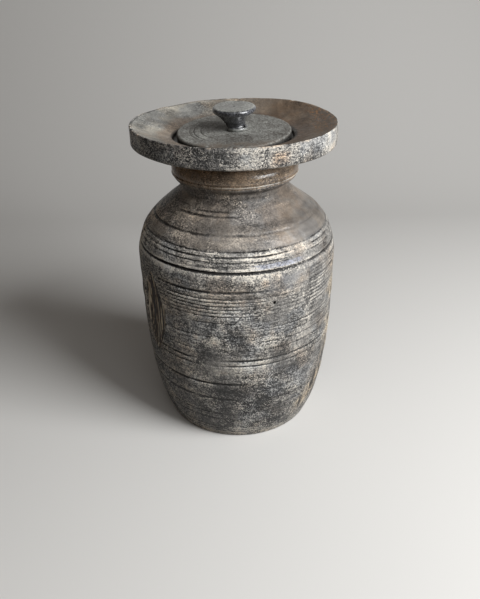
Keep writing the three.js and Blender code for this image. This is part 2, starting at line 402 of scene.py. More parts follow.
print("points of the foot and bead:", len(foot), len(bead))

# %% Rim, dish, seat and hollow
flare = arc((flare_radius, bead_top), (flare_radius - bead_inner, RIM_UNDERSIDE - bead_top),
            180, 90, 12)[1:]
band = arc((flare_radius, RIM_UNDERSIDE + RIM_LOWER_ROUND), (RIM_LOWER_ROUND, RIM_LOWER_ROUND),
           -70, 0, 5)
band += [(RIM_RADIUS, h) for h in between(RIM_UNDERSIDE + 4.6, RIM_TOP - 2.6, 1.9)]
band += arc((RIM_RADIUS - RIM_UPPER_ROUND, RIM_TOP - RIM_UPPER_ROUND),
            (RIM_UPPER_ROUND, RIM_UPPER_ROUND), 0, 90, 4)
dish = []
for radius in between(lip_radius, SEAT_RADIUS + SEAT_EASE, 2.2):
    t = (lip_radius - radius) / (lip_radius - SEAT_RADIUS)
    dish.append((radius, RIM_TOP - DISH_DEPTH * t - 4 * DISH_HOLLOW * t * (1 - t)))
ease_radius, ease_height = dish[-1]
seat = [(ease_radius - SEAT_EASE * sin(a), ease_height - 2.6 * (1 - cos(a)) - 0.5 * sin(a))
        for a in (radians(d) for d in (18, 36, 54, 72, 90))]
seat += [(SEAT_RADIUS, SEAT_CUT), (SEAT_RADIUS - 6, SEAT_CUT), (MOUTH_RADIUS, SEAT_CUT)]
hollow = [(MOUTH_RADIUS, h) for h in between(MOUTH_TOP, NECK_HEIGHT + 10, 10)]
hollow += [(hollow_radius(h), h) for h in between(NECK_HEIGHT, corner_height, 8)]
hollow += arc((corner_radius, corner_height), (CORNER, CORNER), 0, -90, 6)[1:]
hollow += [(corner_radius * share, FLOOR_THICKNESS) for share in (0.66, 0.33, 0)]

# %% Spin the pot
body = [point for point in body_outline() if point[1] > FOOT_EDGE + 0.2]
pot = spin_outline("turned_pot", foot + body + bead + flare + band + dish + seat + hollow, POT_STEPS)

# %% [markdown]
# ## The lid's seat lies out of level
#
# The lid rests in the dish with its front edge lower than its back, and a little lower on one side.
# The seat is cut to that slant. A boolean with a tilted disc could cut it, but its rings are there
# already, so they are picked by their place and rotated about two level axes.

# %% Tilt the seat
seat_level = SEAT_CUT * MM


def in_seat(place):
    """True for the three rings of the seat."""
    return (abs(place.z - seat_level) < 0.05 * MM
            and hypot(place.x, place.y) < (SEAT_RADIUS + 0.5) * MM)


def slant(level):
    """Rotate what is selected to the seat's slant: down at the front, and down to one side."""
    bpy.ops.transform.rotate(value=-SEAT_TILT, orient_axis="X", center_override=(0, 0, level))
    bpy.ops.transform.rotate(value=SEAT_LEAN, orient_axis="Y",
                             center_override=(SEAT_LEAN_FROM * MM, 0, level))


print("seat rings:", pick(pot, in_seat), "vertices")
slant(seat_level)
enter("OBJECT")

# %% [markdown]
# ## Wear and irregular turning
#
# A hand-driven lathe and decades of use leave nothing quite round: the scored lines wander, fade out
# where hands rubbed them and stop where they were never cut, and down the right side the wood has
# frayed in a ragged strip. A sculptor would brush this on. Here each vertex is moved by a few smooth,
# seeded noise fields, which gives the same pot on every run. What was done to a vertex is also noted
# on it as a number, an attribute, so that the finish can follow the shape.


# %% Helpers for wear
def field(place, scale, seed=0, stretch=(1, 1, 1)):
    """A smooth noise between about -1 and 1, with scale in bumps per metre."""
    return noise.noise(Vector([p * s * scale + seed for p, s in zip(place, stretch)]))


def around(place):
    """Angle from the front towards the right in degrees, and radius and height in mm."""
    return degrees(atan2(place.x, -place.y)), hypot(place.x, place.y) / MM, place.z / MM


def put(vertex, angle, radius, height):
    """Set a vertex by angle, radius and height."""
    turned = radians(angle)
    vertex.co = (radius * MM * sin(turned), -radius * MM * cos(turned), height * MM)


def add_notes(piece, *names):
    """Make room on every vertex for numbers of these names, 0 at first."""
    for name in names:
        piece.data.attributes.new(name, "FLOAT", "POINT")


def jot(piece, vertex, **notes):
    """Note numbers on a vertex, for the finish to read."""
    for name, number in notes.items():
        piece.data.attributes[name].data[vertex.index].value = number


def swell(angle, middle, width):
    """1 at the middle angle, fading to 0 on both sides of it."""
    return exp(-(((angle - middle + 180) % 360 - 180) / width) ** 2)


def frayed(angle, height):
    """How far the wood has frayed along the right side: 1 in the strip, 0 outside it."""
    middle = 74 - 25 * smooth_step(height, 105, 20) + 3 * noise.noise(Vector((height * 0.04, 6, 2)))
    ragged = 1 + 0.8 * noise.noise(Vector((height * 0.06, angle * 0.05, 9)))
    ragged += 0.5 * noise.noise(Vector((height * 0.25, angle * 0.2, 5)))
    off = abs(angle - middle) / max(1, 9 * ragged)
    patchy = smooth_step(noise.noise(Vector((height * 0.045, 2, 7))), -0.35, 0.1)
    return smooth_step(off, 1.6, 0.5) * smooth_step(abs(height - 112), 100, 70) * (0.35 + 0.65 * patchy)


add_notes(pot, "relief", "scar", "bare", "fray")

# %% Bare and scorched patches
# Places worn to pale wood (above 0) or scorched (below 0): angle, height, width, height of the patch
# in mm and how strong it is.
PATCHES = [
    (-33, 207, 9, 5, 0.8), (-26, 197, 10, 3, 0.6), (15, 209, 6, 6, 0.9), (8, 209, 3, 4, 0.5),
    (3, 190, 8, 9, 0.7), (16, 181, 7, 12, 0.6), (-9, 104, 12, 5, 0.8), (-30, 96, 8, 7, 0.5),
    (-24, 146, 5, 7, 0.7), (-13, 141, 5, 6, 0.6), (-7, 137, 5, 5, 0.5), (19, 152, 5, 12, 0.6),
    (22, 232, 26, 5, 0.3), (-30, 226, 14, 6, 0.45), (11, 55, 13, 16, -0.9), (26, 52, 4, 5, -0.8),
    (20, 236, 60, 3, 0.3), (48, 40, 34, 16, 0.3), (-34, 20, 20, 12, 0.35), (-4, 6, 70, 5, 0.4),
    (40, 205, 20, 14, 0.25), (-70, 30, 30, 30, 0.2), (60, 198, 26, 14, 0.4), (-6, 80, 24, 20, -0.6),
    (46, 85, 26, 24, 0.4), (-4, 3, 80, 5, 0.7), (150, 120, 24, 40, 0.35), (-140, 200, 30, 14, 0.4),
    (120, 60, 22, 26, -0.5), (-165, 60, 30, 20, -0.4),
]


def bareness(angle, radius, height):
    """How worn (above 0) or scorched (below 0) the skin is at a place."""
    total = 0
    for middle, level, across, up, strength in PATCHES:
        off = radians((angle - middle + 180) % 360 - 180) * radius / across
        total += strength * exp(-off * off - ((height - level) / up) ** 2)
    return total - 0.18 * smooth_step(height, 130, 60) + 0.12 * smooth_step(height, 30, 10)


print("patches:", len(PATCHES))

# %% Wear the body
SCORE_WANDER, RIDGE_CHIPS, SHOULDER_LEAN = 0.6, 0.8, 1.5
RUBBED_ANGLE, RUBBED_HEIGHT = 33, 190
LUMPS = ((15, 0.55, 3.1), (60, 0.3, 7.7), (170, 0.2, 1.3))
worn_vertices = 0
for vertex in pot.data.vertices:
    angle, radius, height = around(vertex.co)
    smooth = body_radius(height)
    if height > NECK_HEIGHT - 1 or height < 1 or radius < smooth - 4:
        continue
    worn_vertices += 1
    rubbed = 0.85 * swell(angle, RUBBED_ANGLE, 13) * smooth_step(abs(height - RUBBED_HEIGHT), 34, 24)
    rubbed = max(rubbed, 0.8 * smooth_step(field(vertex.co, 16, 5.5), -0.1, 0.4))
    broken = 0.5 * smooth_step(field(vertex.co, 62, 2.5, (1, 1, 0.5)), 0.0, 0.35)
    if abs(height - DEEP_LINE) < 3:
        broken, rubbed = 0.2 * broken, 0.5 * rubbed
    depth = score_depth(height, angle) * (1 - rubbed) * (1 - broken)
    lump = sum(size * field(vertex.co, scale, seed) for scale, size, seed in LUMPS)
    turned = radians(angle)
    ring_place = Vector((sin(turned), cos(turned), height * 0.02))
    wave = 0.45 * noise.noise(Vector((sin(turned), cos(turned), height / 13)))
    wave *= smooth_step(height, 225, 150)
    chip = RIDGE_CHIPS * max(0, field(vertex.co, 210, 6.1))
    chip *= smooth_step(abs(height - RIDGES_MIDDLE), 13, 9)
    fray = frayed(angle, height)
    fibres = field(vertex.co, 150, 3.7, (1, 1, 0.12)) + 0.7 * field(vertex.co, 260, 1.9, (1, 1, 0.3))
    lump += wave - chip + fray * (0.9 * fibres + 0.1)
    wander = SCORE_WANDER * noise.noise(ring_place * 1.7) * smooth_step(height, 4, 20)
    put(vertex, angle, smooth - depth + lump * smooth_step(height, 0, 6), height + wander)
    jot(pot, vertex, relief=lump - depth, bare=bareness(angle, radius, height), fray=fray)
    vertex.co.x -= SHOULDER_LEAN * MM * smooth_step(height, 246, 264)
print("worn body vertices:", worn_vertices)

# %% [markdown]
# ## The knot scar
#
# A branch once grew on the left, and its knot has torn out: a long shallow bowl of split fibres with
# a low lip. A boolean cut would give a clean edge, which torn wood has not. So the faces are cut
# finer, and each vertex sinks by how far inside the scar it lies, and by a noise squeezed to long
# upright fibres.

# %% The knot scar
SCAR_ANGLE, SCAR_HEIGHT = -56, 155
SCAR_WIDTH, SCAR_REACH, SCAR_DEPTH = 25, 50, 4.2
SKIN = 100  # mm from the axis: what lies further out there is the skin and not the hollow


def scar_place(place):
    """Where a place lies in the scar: 0 at its middle line, 1 at its edge, and its height share."""
    angle, radius, height = around(place)
    along = (height - SCAR_HEIGHT) / SCAR_REACH
    width = SCAR_WIDTH * (1 - min(1, abs(along)) ** 1.7)
    across = radians(angle - SCAR_ANGLE) * radius
    ragged = 1 + 0.3 * field(place, 40, 3.3, (1, 1, 0.6)) + 0.16 * field(place, 150, 6.3)
    return abs(across) / max(width * ragged, 0.01), along


def near_scar(place):
    """True for the skin in and just round the scar."""
    angle, radius, height = around(place)
    return abs(height - SCAR_HEIGHT) < SCAR_REACH + 3 and abs(angle - SCAR_ANGLE) < 17 and radius > SKIN


scar_faces = pick(pot, near_scar, "FACE")
bpy.ops.mesh.subdivide(number_cuts=2)
enter("OBJECT")
for vertex in pot.data.vertices:
    angle, radius, height = around(vertex.co)
    if radius < SKIN or abs(angle - SCAR_ANGLE) > 20 or height > 220:
        continue
    share, along = scar_place(vertex.co)
    if abs(along) > 1.1 or share > 1.35:
        continue
    if share < 1:
        bowl = SCAR_DEPTH * (1 - share ** 4) * sqrt(max(0, 1 - along * along))
        fibre = field(vertex.co, 260, 2.2, (1, 1, 0.05))
        fibre += 0.5 * field(vertex.co, 520, 8.2, (1, 1, 0.07))
        fibre *= 1.7 * smooth_step(bowl, 0, 2.5)
        put(vertex, angle, body_radius(height) - bowl + fibre, height)
        jot(pot, vertex, relief=fibre - 0.5 * bowl, scar=smooth_step(share, 1.02, 0.8))
    else:
        lip = 0.7 * smooth_step(share, 1.35, 1.0) * (1 - min(1, abs(along)))
        put(vertex, angle, radius + lip, height)
print("scar faces:", scar_faces)

# %% [markdown]
# ## Bead, rim and dish
#
# The rim is the widest and thinnest part, so it dried out of flat, and its edge is chipped and worn
# pale. The seat stands closer to the lid on the right and sinks a little on the left. A lattice
# could bend the rim, but the same vertex moves do it and keep the notes in step.

# %% Bead, rim and dish
CROWDED_SIDE, SUNK_SIDE, SIDE_WIDTH = 105, -105, 45


def rim_sway(angle):
    """How far the rim stands above true at an angle, in mm: it dried out of flat."""
    turned = radians(angle)
    sway = 1.8 * swell(angle, 140, 25) - 1.6 * swell(angle, -130, 28)
    return sway - 1.25 * cos(turned) - 0.4 * sin(turned)


for vertex in pot.data.vertices:
    angle, radius, height = around(vertex.co)
    if height < NECK_HEIGHT - 1 or radius < MOUTH_RADIUS + 4:
        continue
    if height < bead_top:
        vertex.co.x -= SHOULDER_LEAN * MM * smooth_step(height, 289, 279)
        angle, radius, height = around(vertex.co)
        lump = 0.22 * field(vertex.co, 45, 4) + 0.1 * field(vertex.co, 120, 7)
        put(vertex, angle, radius + lump, height)
        jot(pot, vertex, relief=lump)
        continue
    sunk = swell(angle, SUNK_SIDE, SIDE_WIDTH)
    if radius < SEAT_RADIUS + SEAT_EASE and height > MOUTH_TOP - 1:
        crowd = SEAT_CROWD * swell(angle, CROWDED_SIDE, SIDE_WIDTH)
        crowd *= smooth_step(radius, 57, SEAT_RADIUS - 0.2)
        put(vertex, angle, radius - crowd, height - sunk * smooth_step(height, SEAT_HEIGHT + 2, 329))
        continue
    turned = radians(angle)
    ring_place = Vector((sin(turned), cos(turned), 0))
    rim_share = smooth_step(radius, 92, 104)
    lip_share = rim_share * smooth_step(height, 336, 341)
    slow = noise.noise(ring_place * 1.6 + Vector((3, 1, 8)))
    quick = noise.noise(ring_place * 7 + Vector((1, 5, 2)))
    chip = smooth_step(noise.noise(ring_place * 24 + Vector((7, 2, 4))), 0.3, 0.65)
    fine = field(vertex.co, 160, 6) + 0.6 * field(vertex.co, 380, 3)
    out = rim_share * (0.35 * slow + 0.2 * quick + 0.22 * fine) - lip_share * 0.6 * chip
    up = lip_share * (0.3 * quick - 0.5 * chip) + smooth_step(radius, 66, 100) * rim_sway(angle)
    up += 1.2 * swell(angle, -52, 22) * rim_share * smooth_step(height, 334, 324)
    if radius < 101 and height > 324:
        up += 0.22 * field(vertex.co, 40, 9) + 0.08 * field(vertex.co, 120, 2)
    out += rim_share * 0.7 * smooth_step(-sin(turned), 0.6, 1)
    up -= sunk * smooth_step(radius, 76, 65)
    put(vertex, angle, radius + out, height + up)
    edge = smooth_step(radius, 102.6, 103.4) * smooth_step(height, 340.8, 342)
    jot(pot, vertex, relief=out * (rim_share if out > 0 else 0.25),
        bare=0.7 * edge * smooth_step(quick, 0.0, 0.35))
print("rim worn")

# %% [markdown]
# ## Beetle holes
#
# A wood beetle leaves a clean round hole 2 to 3 mm wide. The pot's is drawn a little wider, so that
# it shows in a small picture. A boolean with a thin cylinder would do, but these operators keep one
# mesh: the faces round the hole are cut finer, the ones inside the circle are rounded up and pushed
# in, and the inner walls are noted as bored, to be painted nearly black as painted shade.


# %% Bore a small hole
def bore(piece, turned, reach, height, radius, depth, cuts, shift=0):
    """A round blind hole towards the axis, all in mm; shift is how far right the axis stands."""
    outward = Vector((sin(turned), -cos(turned), 0))
    mouth = outward * reach * MM + Vector((shift * MM, 0, height * MM))
    inward = (-outward).normalized()
    add_notes(piece, "bored")

    def gap(place):
        """How far a place lies from the hole's middle line; far away means 1 m."""
        off = place - mouth
        along = off.dot(inward)
        return (off - inward * along).length if abs(along) < 3 * MM else 1

    def push(distance):
        """Extrude what is selected into the wood, in mm."""
        bpy.ops.mesh.extrude_region_move(TRANSFORM_OT_translate={"value": inward * distance * MM})

    pick(piece, lambda place: gap(place) < radius * MM * 2.2, "FACE")
    bpy.ops.mesh.subdivide(number_cuts=cuts)
    inside = pick(piece, lambda place: gap(place) < radius * MM * 0.93, "FACE")
    push(0.05)
    bpy.ops.transform.tosphere(value=0.85)
    enter("OBJECT")
    for vertex in piece.data.vertices:
        if vertex.select:
            jot(piece, vertex, bored=1)
    enter("EDIT")
    for share in (0.4, 0.6):
        push(share * depth)
    enter("OBJECT")
    print("beetle hole faces:", inside)


HOLE_ANGLE, HOLE_HEIGHT = radians(19.9), 186.6
bore(pot, HOLE_ANGLE, body_radius(HOLE_HEIGHT), HOLE_HEIGHT, radius=2.05, depth=6, cuts=4)

# %% [markdown]
# ## Shading and relief
#
# Turned wood is smooth along its rings and crisp at its lines, so edges sharper than 50 degrees stay
# hard. The finish has to know ridges from grooves. The Geometry node's Pointiness could tell, but not
# in millimetres, so each vertex keeps how far it stands above the average of those round it.


# %% Shading and relief
def sharpen_relief(piece, rounds):
    """Turn the noted heights, in mm, into how far each vertex stands above its surroundings."""
    mesh = piece.data
    heights = np.empty(len(mesh.vertices))
    mesh.attributes["relief"].data.foreach_get("value", heights)
    ends = np.empty(2 * len(mesh.edges), dtype=int)
    mesh.edges.foreach_get("vertices", ends)
    start, end = ends.reshape(-1, 2).T
    links = np.bincount(ends, minlength=len(heights))
    level = heights.copy()
    for _ in range(rounds):
        total = np.bincount(start, level[end], len(level)) + np.bincount(end, level[start], len(level))
        level = 0.5 * level + 0.5 * total / links
    mesh.attributes["relief"].data.foreach_set("value", heights - level)
    return heights - level


def finish_skin(piece):
    """Smooth shading that keeps crisp edges, then the relief for the finish to read."""
    deselect()
    piece.select_set(True)
    bpy.context.view_layer.objects.active = piece
    bpy.ops.object.shade_smooth_by_angle(angle=radians(50))
    stand = sharpen_relief(piece, 10)
    print(piece.name, "relief from", round(stand.min(), 2), "to", round(stand.max(), 2), "mm")


finish_skin(pot)
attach(pot, "vessel")
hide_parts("pot")

# %% [markdown]
# ## The lid
#
# The lid is a thin turned disc with a plug under it that drops into the mouth. Its top keeps faint
# rings from the tool, deepest at the left, and its side wall is painted nearly black: painted shade.
# It is spun level, from an outline like the pot's, and takes its slant later.

# %% The lid's outline
LID_RADIUS, LID_THICKNESS, LID_EDGE = 58.5, 8, 2
PLUG_RADIUS, PLUG_DEPTH, PLUG_TAPER, PLUG_BEVEL = 45.5, 10, 1.5, 0.8
SOCKET_RADIUS, SOCKET_DEPTH = 7.8, 12.3
LID_LINES = [(54.5, 0.3), (45.4, 0.8), (41.4, 0.9), (34.2, 0.8), (28, 0.5), (19, 0.3)]
LID_LINE_REACH = 0.9

lid_top = []
for radius in between(LID_RADIUS - LID_EDGE, SOCKET_RADIUS, LID_LINE_REACH):
    cut = max(depth * max(0, 1 - abs(radius - middle) / LID_LINE_REACH) for middle, depth in LID_LINES)
    lid_top.append((radius, LID_THICKNESS - cut))
plug_end = PLUG_RADIUS - PLUG_TAPER
socket_floor = LID_THICKNESS - SOCKET_DEPTH
lid_outline = [(0, -PLUG_DEPTH), (20, -PLUG_DEPTH), (plug_end - PLUG_BEVEL, -PLUG_DEPTH),
               (plug_end, -PLUG_DEPTH + PLUG_BEVEL), (PLUG_RADIUS - 0.7, -5), (PLUG_RADIUS, -0.6),
               (PLUG_RADIUS + 0.4, 0), (52, 0), (LID_RADIUS - 0.8, 0), (LID_RADIUS, 0.8),
               (LID_RADIUS + 0.1, 2.6), (LID_RADIUS + 0.1, 4.4)]
lid_outline += arc((LID_RADIUS - LID_EDGE, LID_THICKNESS - LID_EDGE), (LID_EDGE, LID_EDGE), 0, 90, 5)
lid_outline += lid_top[1:] + [(SOCKET_RADIUS, socket_floor), (0, socket_floor)]

# %% Turn the lid
lid = spin_outline("turned_lid", lid_outline, 160)
add_notes(lid, "relief", "edge")
for vertex in lid.data.vertices:
    angle, radius, height = around(vertex.co)
    if height > LID_THICKNESS - 1 and SOCKET_RADIUS < radius < LID_RADIUS - LID_EDGE:
        line_left = 0.15 + 0.85 * swell(angle, -72, 48)
        height = LID_THICKNESS - (LID_THICKNESS - height) * line_left
        jot(lid, vertex, relief=height - LID_THICKNESS)
    if radius > SOCKET_RADIUS + 2:
        # The edge note marks the lid's side wall, which the finish paints nearly black: painted shade.
        jot(lid, vertex, edge=smooth_step(radius, 57, 58) * smooth_step(height, 7.2, 5))
        sway = 0.3 * smooth_step(radius, 54, 58) * field(vertex.co, 40, 3)
        lift = (0.25 * field(vertex.co, 22, 4) + 0.08 * field(vertex.co, 90, 6)) * (height > 1)
        put(vertex, angle, radius + sway, height + lift)

# %% [markdown]
# ## The knob
#
# The knob is a small turned piece of darker, harder wood: a flat top, a flare down to a waist and a
# foot ring. It was set askew: its foot stands to the right of its top, and the flare is straight on
# one side and hollow on the other. A spun shape is round, so vertex moves do this. Dust lies on the
# top and the foot ring, and both are painted paler than the sides, partly as painted light from
# above. The tenon under it stays true.

# %% The knob's outline
KNOB_RADIUS, KNOB_EDGE, KNOB_HEIGHT = 22, 6.2, 23
WAIST_RADIUS, WAIST_HEIGHT, KNOB_FOOT, KNOB_FOOT_HEIGHT = 9.6, 6, 12, 3
FLARE_POWER = 1.35
TENON_RADIUS, TENON_LENGTH, TENON_GAP = 7.5, 12, 0.3
TOP_HOLLOW, TOP_LINE, TOP_LINE_DEPTH = 0.5, (15.5, 16.7), 0.25

knob_outline = [(0, -TENON_LENGTH), (TENON_RADIUS - 0.6, -TENON_LENGTH),
                (TENON_RADIUS, -TENON_LENGTH + 0.6), (TENON_RADIUS, 0), (KNOB_FOOT - 0.5, 0),
                (KNOB_FOOT, 0.5), (KNOB_FOOT + 0.1, 1.5), (KNOB_FOOT, 2.4),
                (KNOB_FOOT - 0.6, KNOB_FOOT_HEIGHT), (WAIST_RADIUS + 0.2, 3.8), (WAIST_RADIUS - 0.1, 4.8)]
half = KNOB_EDGE / 2
knob_edge = arc((KNOB_RADIUS - half, KNOB_HEIGHT - half), (half, half), -40, 90, 11)
flare_end, flare_height = knob_edge[0]
for t in between(0, 1, 1 / 16)[:-1]:
    knob_outline.append((WAIST_RADIUS + (flare_end - WAIST_RADIUS) * t ** FLARE_POWER,
                         WAIST_HEIGHT + (flare_height - WAIST_HEIGHT) * t))
knob_outline += knob_edge
for radius in between(18, 1.2, 0.9):
    line = TOP_LINE_DEPTH if TOP_LINE[0] < radius < TOP_LINE[1] else 0
    knob_outline.append((radius, KNOB_HEIGHT - TOP_HOLLOW * (1 - radius / 20) - line))
knob_outline += [(0.6, KNOB_HEIGHT - 0.9), (0, KNOB_HEIGHT - 1.0)]

# %% Turn the knob
TOP_ASKEW, FOOT_ASKEW = 0.85, 2.7
knob = spin_outline("turned_knob", knob_outline, 112)
add_notes(knob, "relief", "dusty")
for vertex in knob.data.vertices:
    angle, radius, height = around(vertex.co)
    if height > 0.1 or (height > -0.1 and radius > TENON_RADIUS + 0.5):
        straight = swell(angle, -90, 60) * exp(-((height - 7) / 4) ** 2)
        undercut = 2.4 * swell(angle, 95, 55) * exp(-((height - 13.5) / 3.2) ** 2)
        lump = 0.18 * field(vertex.co, 70, 2) + 0.1 * field(vertex.co, 210, 5)
        no_ring = 2.2 * swell(angle, -105, 60) * smooth_step(height, 4.2, 3)
        put(vertex, angle, radius + straight - undercut - no_ring + lump, height)
        vertex.co.x += (TOP_ASKEW + (FOOT_ASKEW - TOP_ASKEW) * smooth_step(height, 12, 2)) * MM
        vertex.co.z += 0.1 * MM * field(vertex.co, 160, 8) * smooth_step(height, 20, 22)
        # The top and foot ring are noted for a paler colour: dust, and partly painted light from above.
        on_top, on_ring = smooth_step(height, 22.1, 22.85), smooth_step(height, 3.4, 2.4)
        jot(knob, vertex, dusty=max(on_top, 0.75 * on_ring))
bore(knob, radians(54), 10.4, 3.7, radius=1.25, depth=5, cuts=3, shift=FOOT_ASKEW)

# %% [markdown]
# ## The lid and knob in their places
#
# Both were made level at the origin. They take the seat's slant by the same two turns and rise to the
# seat, in edit mode, because a finished piece's object stays at the origin with its place in its
# mesh. Both ride on the CAD body that lifts off.

# %% Set the lid and knob in their places
for piece, rise in ((lid, 0), (knob, LID_THICKNESS + TENON_GAP)):
    pick(piece, lambda place: True)
    bpy.ops.transform.translate(value=(0, 0, rise * MM))
    slant(0)
    bpy.ops.transform.translate(value=(0, 0, SEAT_HEIGHT * MM))
    enter("OBJECT")
    finish_skin(piece)
    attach(piece, "cover")
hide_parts("lid")
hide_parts("lid_knob")
for piece, node in ((pot, "pot"), (lid, "lid"), (knob, "lid_knob")):
    low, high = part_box(node)
    corners = [v.co for v in piece.data.vertices]
    print(piece.name, "z", round(min(c.z for c in corners), 4), round(max(c.z for c in corners), 4),
          "CAD", round(low.z, 4), round(high.z, 4))

# %% [markdown]
# ## Finishes
#
# The pot's skin is layered: dark oiled wood, a charcoal bloom of smoke, grey dust rubbed into the
# pores, cream fibre where the skin has chipped, and black dirt and painted shade in the scored lines,
# with a few painted highlights and shades besides. It could be painted on an unwrapped picture. Here
# each layer is a procedural noise, or reads a number noted on the vertices, so it stays fine at any
# distance. The noises read Object coordinates, squeezed so that they run along the rings or down the
# wall where the wear does.


# %% A small kit for finishes
def tone(red, green, blue):
    """A colour from its ordinary 0 to 255 values."""
    return tuple((v / 255 / 12.92) if v < 10.4 else ((v / 255 + 0.055) / 1.055) ** 2.4
                 for v in (red, green, blue)) + (1,)


class Finish:
    """A procedural material, built up node by node."""

    def __init__(self, name):
        self.material = bpy.data.materials.new(name)
        self.material.use_nodes = True
        self.nodes = self.material.node_tree.nodes
        self.links = self.material.node_tree.links
        self.shader = self.nodes["Principled BSDF"]
        self.place = self.nodes.new("ShaderNodeTexCoord").outputs["Object"]

    def plug(self, socket, value):
        """Set a socket, or link it when the value is another node's output."""
        if isinstance(value, bpy.types.NodeSocket):
            self.links.new(value, socket)
        else:
            socket.default_value = value

    def axes(self):
        """Where a point lies: to the right, to the back and up, in metres."""
        node = self.nodes.new("ShaderNodeSeparateXYZ")
        self.links.new(self.place, node.inputs["Vector"])
        return node.outputs

    def note(self, name):
        """One of the numbers noted on the piece's vertices."""
        node = self.nodes.new("ShaderNodeAttribute")
        node.attribute_name = name
        return node.outputs["Fac"]

    def noise(self, scale, stretch=(1, 1, 1), detail=4, roughness=0.55, warp=0):
        """Noise between 0 and 1, in bumps per metre, squeezed along each axis by stretch."""
        mapping = self.nodes.new("ShaderNodeMapping")
        self.links.new(self.place, mapping.inputs["Vector"])
        mapping.inputs["Scale"].default_value = [scale * s for s in stretch]
        node = self.nodes.new("ShaderNodeTexNoise")
        self.links.new(mapping.outputs["Vector"], node.inputs["Vector"])
        for socket, number in (("Scale", 1), ("Detail", detail), ("Roughness", roughness),
                               ("Distortion", warp)):
            node.inputs[socket].default_value = number
        return node.outputs["Fac"]

    def math(self, operation, *values):
        """One step of arithmetic."""
        node = self.nodes.new("ShaderNodeMath")
        node.operation = operation
        for socket, value in zip(node.inputs, values):
            self.plug(socket, value)
        return node.outputs["Value"]

    def times(self, product, *others):
        """All the values multiplied together."""
        for value in others:
            product = self.math("MULTIPLY", product, value)
        return product

    def flip(self, value):
        """1 where the value is 0, and 0 where it is 1."""
        return self.math("SUBTRACT", 1.0, value)

    def plus(self, result, *parts):
        """A start plus weight times value, for each (value, weight)."""
        for value, weight in parts:
            result = self.math("MULTIPLY_ADD", value, weight, result)
        return result

    def stir(self, start, *parts):
        """As plus, for noises: each raises and lowers the result about its own middle, 0.5."""
        return self.plus(start, *[(self.math("SUBTRACT", v, 0.5), weight) for v, weight in parts])

    def spread(self, value, low, high, bottom=0, top=1):
        """Stretch low..high of a value softly to bottom..top."""
        node = self.nodes.new("ShaderNodeMapRange")
        node.interpolation_type = "SMOOTHSTEP"
        for socket, number in zip(("Value", "From Min", "From Max", "To Min", "To Max"),
                                  (value, low, high, bottom, top)):
            self.plug(node.inputs[socket], number)
        return node.outputs["Result"]

    def within(self, value, low, high, soft):
        """1 from low to high, fading out over soft on each side."""
        return self.times(self.spread(value, low - soft, low), self.spread(value, high + soft, high))

    def ramp(self, value, *stops):
        """A colour for a value, from (place, red, green, blue) stops."""
        node = self.nodes.new("ShaderNodeValToRGB")
        elements = node.color_ramp.elements
        while len(elements) < len(stops):
            elements.new(0.5)
        for element, (place, *color) in zip(elements, stops):
            element.position = place
            element.color = tone(*color)
        self.plug(node.inputs["Fac"], value)
        return node.outputs["Color"]

    def lay(self, below, *layers, mode="MIX"):
        """Lay (share, colour) layers over a colour, one after another."""
        for share, above in layers:
            node = self.nodes.new("ShaderNodeMix")
            node.data_type = "RGBA"
            node.blend_type = mode
            self.plug(node.inputs["Factor"], share)
            self.plug(node.inputs["A"], below)
            self.plug(node.inputs["B"], above)
            below = node.outputs[2]
        return below

    def tint(self, below, *layers):
        """As lay, but each layer stains what is under it instead of hiding it."""
        return self.lay(below, *layers, mode="MULTIPLY")

    def apply(self, piece, color, roughness, *layers):
        """Give the finish to a piece, with bump from (height, depth in metres) layers."""
        self.plug(self.shader.inputs["Base Color"], color)
        self.plug(self.shader.inputs["Roughness"], roughness)
        normal = None
        for value, depth in layers:
            node = self.nodes.new("ShaderNodeBump")
            self.plug(node.inputs["Height"], value)
            node.inputs["Distance"].default_value = depth
            if normal:
                self.links.new(normal, node.inputs["Normal"])
            normal = node.outputs["Normal"]
        self.links.new(normal, self.shader.inputs["Normal"])
        piece.data.materials.append(self.material)
        print(self.material.name, "has", len(self.nodes), "nodes")


# %% [markdown]
# ## The pot's zones
#
# Foot, ridges, shoulder, bead, rim and dish were each handled in their own way, so each has its own
# wear. Vertex groups could mark them, but their borders would show the mesh. Here a zone is a number
# that goes softly from 0 to 1 with the height and with the distance from the axis, in metres.

# %% Pot finish: zones
wood = Finish("oiled_charred_wood")
times, plus, stir, spread = wood.times, wood.plus, wood.stir, wood.spread  # the pot's own tools
within, lay = wood.within, wood.lay
axis_x, axis_y, level = wood.axes()
span = wood.math("SQRT", wood.math("ADD", times(axis_x, axis_x), times(axis_y, axis_y)))
in_dish = times(spread(span, 0.1042, 0.1036), spread(level, 0.3235, 0.3250))
off_dish = wood.flip(in_dish)
off_rim = spread(span, 0.1022, 0.1010)
on_band = times(spread(span, 0.1022, 0.1034), spread(level, 0.3195, 0.3210), off_dish)
on_bead = times(spread(level, 0.2895, 0.2905), off_rim, off_dish)
on_shoulder = times(spread(level, 0.2385, 0.2425), spread(level, 0.2905, 0.2895))
on_ridges = times(spread(level, 0.2225, 0.2245), spread(level, 0.2425, 0.2405))
# Towards the bottom. The colour sum paints the wood darker there, partly as painted shade.
low_down = spread(level, 0.115, 0.07)
at_foot = spread(level, 0.014, 0.005)
# The left side: grooves there are painted darker as painted shade, and the dish's left slope, which faces
# the lamp, is painted paler.
at_left = spread(axis_x, -0.03, -0.085)
in_front = spread(axis_y, 0, -0.02)
# The right side faces the lamp. The pale number is raised a little there: painted light.
lit_right = spread(axis_x, 0.0, 0.075)
relief, bare, fray, scar, bored = [wood.note(n) for n in ("relief", "bare", "fray", "scar", "bored")]
